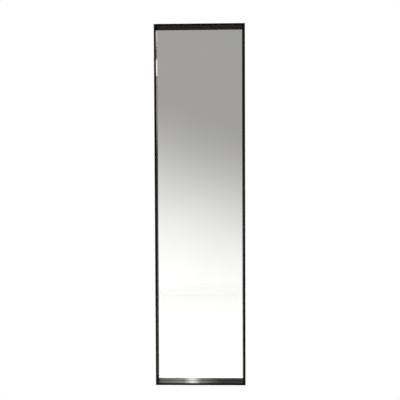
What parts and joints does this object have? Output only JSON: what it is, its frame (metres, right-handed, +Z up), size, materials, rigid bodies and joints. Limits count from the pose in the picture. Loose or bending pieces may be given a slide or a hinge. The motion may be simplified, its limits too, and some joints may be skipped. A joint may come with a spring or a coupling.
{
  "type": "pull out closet mirror",
  "caption": "Tall framed closet mirror on full-extension slides that pulls out of a wardrobe and swivels a quarter turn on a vertical pivot.",
  "frame": {"origin": "centre of the mounting plate's back face, on the closet's side panel", "axes": "+Z up; +Y into the closet's side panel, so the glass faces -Y; +X is the way the mirror pulls out"},
  "size_m": [0.305, 0.0651, 1.22],
  "materials": {
    "frame_bronze": "glossy dark bronze anodised",
    "mirror_glass": "silvered glass",
    "tape": "matt foam",
    "hardboard": "pressed fibre board",
    "zinc_steel": "zinc plated",
    "spring_steel": "bare spring steel",
    "cage_steel": "bright steel with balls",
    "coated_steel": "dark powder coat",
    "dark_screw": "black oxide",
    "nylon": "natural nylon",
    "black_plastic": "moulded",
    "magnet": "ground",
    "rubber": "matt"
  },
  "bodies": {
    "panel_side": {"mounting_plate": "coated_steel", "upper_cabinet_member": "zinc_steel", "upper_rear_buffer": "rubber", "lower_cabinet_member": "zinc_steel", "lower_rear_buffer": "rubber"},
    "outer_ball_cages": {"upper_outer_ball_cage": "cage_steel", "lower_outer_ball_cage": "cage_steel"},
    "middle_members": {"upper_middle_member": "zinc_steel", "lower_middle_member": "zinc_steel"},
    "inner_ball_cages": {"upper_inner_ball_cage": "cage_steel", "lower_inner_ball_cage": "cage_steel"},
    "carriage": {"carrier_upright": "coated_steel", "upper_inner_member": "zinc_steel", "upper_carrier_bracket": "coated_steel", "upper_carrier_screw_1": "dark_screw", "upper_carrier_screw_2": "dark_screw", "upper_pivot_bolt": "dark_screw", "lower_inner_member": "zinc_steel", "lower_carrier_bracket": "coated_steel", "lower_carrier_screw_1": "dark_screw", "lower_carrier_screw_2": "dark_screw", "lower_pivot_bolt": "dark_screw"},
    "mirror": {"frame_left_stile": "frame_bronze", "frame_right_stile": "frame_bronze", "frame_top_rail": "frame_bronze", "frame_bottom_rail": "frame_bronze", "corner_key_bottom_left": "zinc_steel", "corner_key_bottom_right": "zinc_steel", "corner_key_top_right": "zinc_steel", "corner_key_top_left": "zinc_steel", "key_screw_bottom_left_1": "dark_screw", "key_screw_bottom_left_2": "dark_screw", "key_screw_bottom_right_1": "dark_screw", "key_screw_bottom_right_2": "dark_screw", "key_screw_top_right_1": "dark_screw", "key_screw_top_right_2": "dark_screw", "key_screw_top_left_1": "dark_screw", "key_screw_top_left_2": "dark_screw", "mirror_glass": "mirror_glass", "glazing_tape": "tape", "backing_board": "hardboard", "spring_clip_left_1": "spring_steel", "spring_clip_left_2": "spring_steel", "spring_clip_right_1": "spring_steel", "spring_clip_right_2": "spring_steel", "upper_mirror_bracket": "coated_steel", "upper_pivot_bush": "nylon", "upper_nut_strip": "zinc_steel", "upper_bracket_screw_1": "dark_screw", "upper_bracket_screw_2": "dark_screw", "upper_magnet_housing": "black_plastic", "upper_catch_magnet": "magnet", "lower_mirror_bracket": "coated_steel", "lower_pivot_bush": "nylon", "lower_nut_strip": "zinc_steel", "lower_bracket_screw_1": "dark_screw", "lower_bracket_screw_2": "dark_screw", "lower_magnet_housing": "black_plastic", "lower_catch_magnet": "magnet"}
  },
  "joints": [
    {"name": "pull_out", "type": "slide", "parent": "panel_side", "child": "carriage", "axis": [1, 0, 0], "range_m": [0, 0.28]},
    {"name": "outer_cage_roll", "type": "slide", "parent": "panel_side", "child": "outer_ball_cages", "axis": [1, 0, 0], "range_m": [0, 0.07]},
    {"name": "middle_slide", "type": "slide", "parent": "panel_side", "child": "middle_members", "axis": [1, 0, 0], "range_m": [0, 0.14]},
    {"name": "inner_cage_roll", "type": "slide", "parent": "panel_side", "child": "inner_ball_cages", "axis": [1, 0, 0], "range_m": [0, 0.21]},
    {"name": "swivel", "type": "hinge", "parent": "carriage", "child": "mirror", "pos_m": [0.1435, -0.024, 0], "axis": [0, 0, 1], "range_deg": [0, 90]}
  ],
  "couplings": [
    {"joint": "outer_cage_roll", "follows": "pull_out", "ratio": 0.25},
    {"joint": "middle_slide", "follows": "pull_out", "ratio": 0.5},
    {"joint": "inner_cage_roll", "follows": "pull_out", "ratio": 0.75}
  ]
}
